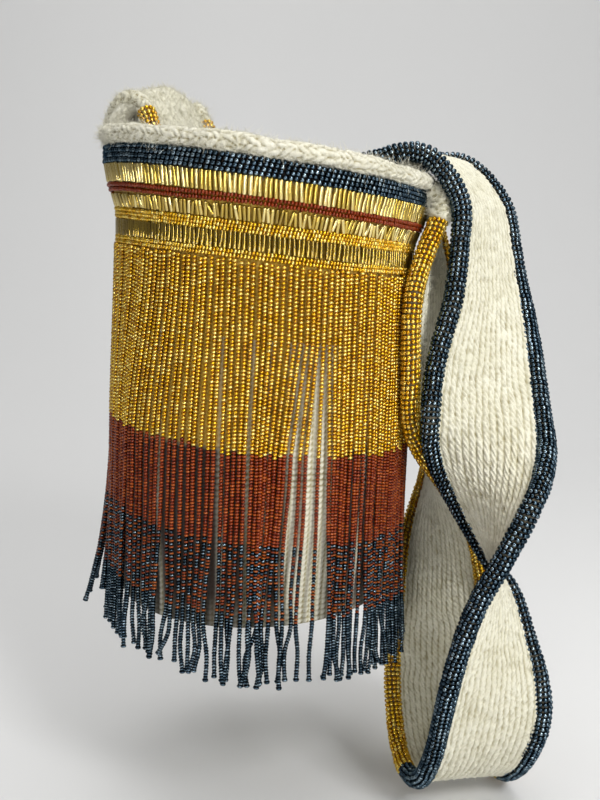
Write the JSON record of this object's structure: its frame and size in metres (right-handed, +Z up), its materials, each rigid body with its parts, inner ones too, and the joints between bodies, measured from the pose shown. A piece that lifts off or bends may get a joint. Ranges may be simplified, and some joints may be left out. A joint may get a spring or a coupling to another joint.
{
  "type": "mochila bag",
  "caption": "Small crochet bucket bag with a rolled rim, bands of seed and bugle beads, a long four-colour bead fringe and one wide strap with bead-wrapped edges.",
  "frame": {"origin": "middle of the flat underside of the base", "axes": "+Z up along the bag, -Y towards the pictured front, +X towards the side that the strap hangs on"},
  "size_m": [0.2569, 0.191, 0.4174],
  "materials": {
    "cream_crochet": "matt cotton crochet",
    "cream_strap_crochet": "matt ribbed cotton crochet",
    "gold_seed_beads": "silver-lined gold glass seed beads",
    "gold_bugle_beads": "silver-lined pale gold glass tubes",
    "red_seed_beads": "glossy red-brown glass seed beads",
    "mixed_seed_beads": "red-brown and blue-grey glass seed beads, one after the other",
    "blue_seed_beads": "metallic blue-grey glass seed beads"
  },
  "bodies": {
    "bag": {"base_disc": "cream_crochet", "body_wall": "cream_crochet", "rim_roll": "cream_crochet", "dark_seed_band": "blue_seed_beads", "upper_bugle_row": "gold_bugle_beads", "red_seed_band": "red_seed_beads", "middle_bugle_row": "gold_bugle_beads", "gold_seed_net": "gold_seed_beads", "lower_bugle_row": "gold_bugle_beads", "fringe_header_rows": "gold_seed_beads", "fringe_1_gold": "gold_seed_beads", "fringe_1_red": "red_seed_beads", "fringe_1_mixed": "mixed_seed_beads", "fringe_1_blue": "blue_seed_beads", "fringe_2_gold": "gold_seed_beads", "fringe_2_red": "red_seed_beads", "fringe_2_mixed": "mixed_seed_beads", "fringe_2_blue": "blue_seed_beads", "strap_end_left": "cream_strap_crochet", "strap_end_right": "cream_strap_crochet", "strap_web_mouth": "cream_strap_crochet", "strap_web_drop": "cream_strap_crochet", "strap_back_edge_plain": "cream_strap_crochet", "strap_back_edge_gold_mouth": "gold_seed_beads", "strap_back_edge_blue_mouth": "blue_seed_beads", "strap_back_edge_blue_drop": "blue_seed_beads", "strap_front_edge_plain": "cream_strap_crochet", "strap_front_edge_gold_mouth": "gold_seed_beads", "strap_front_edge_blue_mouth": "blue_seed_beads", "strap_front_edge_blue_drop": "blue_seed_beads"},
    "strap_loop": {"strap_web_loop": "cream_strap_crochet", "strap_back_edge_blue_loop": "blue_seed_beads", "strap_back_edge_gold_loop": "gold_seed_beads", "strap_front_edge_blue_loop": "blue_seed_beads", "strap_front_edge_gold_loop": "gold_seed_beads"},
    "fringe_panel_3": {"fringe_3_gold": "gold_seed_beads", "fringe_3_red": "red_seed_beads", "fringe_3_mixed": "mixed_seed_beads", "fringe_3_blue": "blue_seed_beads"},
    "fringe_panel_4": {"fringe_4_gold": "gold_seed_beads", "fringe_4_red": "red_seed_beads", "fringe_4_mixed": "mixed_seed_beads", "fringe_4_blue": "blue_seed_beads"},
    "fringe_panel_5": {"fringe_5_gold": "gold_seed_beads", "fringe_5_red": "red_seed_beads", "fringe_5_mixed": "mixed_seed_beads", "fringe_5_blue": "blue_seed_beads"},
    "fringe_panel_6": {"fringe_6_gold": "gold_seed_beads", "fringe_6_red": "red_seed_beads", "fringe_6_mixed": "mixed_seed_beads", "fringe_6_blue": "blue_seed_beads"},
    "fringe_panel_7": {"fringe_7_gold": "gold_seed_beads", "fringe_7_red": "red_seed_beads", "fringe_7_mixed": "mixed_seed_beads", "fringe_7_blue": "blue_seed_beads"},
    "fringe_panel_8": {"fringe_8_gold": "gold_seed_beads", "fringe_8_red": "red_seed_beads", "fringe_8_mixed": "mixed_seed_beads", "fringe_8_blue": "blue_seed_beads"}
  },
  "joints": [
    {"name": "strap_swing", "type": "hinge", "parent": "bag", "child": "strap_loop", "pos_m": [0.1068, 0, 0.2105], "axis": [0, -1, 0], "range_deg": [0, 90], "deforming": ["strap_web_drop", "strap_back_edge_blue_drop", "strap_front_edge_blue_drop"]},
    {"name": "fringe_3_swing", "type": "hinge", "parent": "bag", "child": "fringe_panel_3", "pos_m": [0.06597, 0.06141, 0.18273], "axis": [0.7229, -0.686, -0.0822], "range_deg": [0, 80]},
    {"name": "fringe_4_swing", "type": "hinge", "parent": "bag", "child": "fringe_panel_4", "pos_m": [0.00547, 0.08463, 0.1896], "axis": [0.9933, 0.026, -0.1129], "range_deg": [0, 80]},
    {"name": "fringe_5_swing", "type": "hinge", "parent": "bag", "child": "fringe_panel_5", "pos_m": [-0.05373, 0.05828, 0.19633], "axis": [0.6863, 0.7232, -0.078], "range_deg": [0, 80]},
    {"name": "fringe_6_swing", "type": "hinge", "parent": "bag", "child": "fringe_panel_6", "pos_m": [-0.07695, -0.00222, 0.19897], "axis": [-0.0262, 0.9997, 0.003], "range_deg": [0, 80]},
    {"name": "fringe_7_swing", "type": "hinge", "parent": "bag", "child": "fringe_panel_7", "pos_m": [-0.05059, -0.06141, 0.19597], "axis": [-0.7229, 0.686, 0.0822], "range_deg": [0, 80]},
    {"name": "fringe_8_swing", "type": "hinge", "parent": "bag", "child": "fringe_panel_8", "pos_m": [0.0099, -0.08463, 0.1891], "axis": [-0.9933, -0.026, 0.1129], "range_deg": [0, 80]}
  ]
}
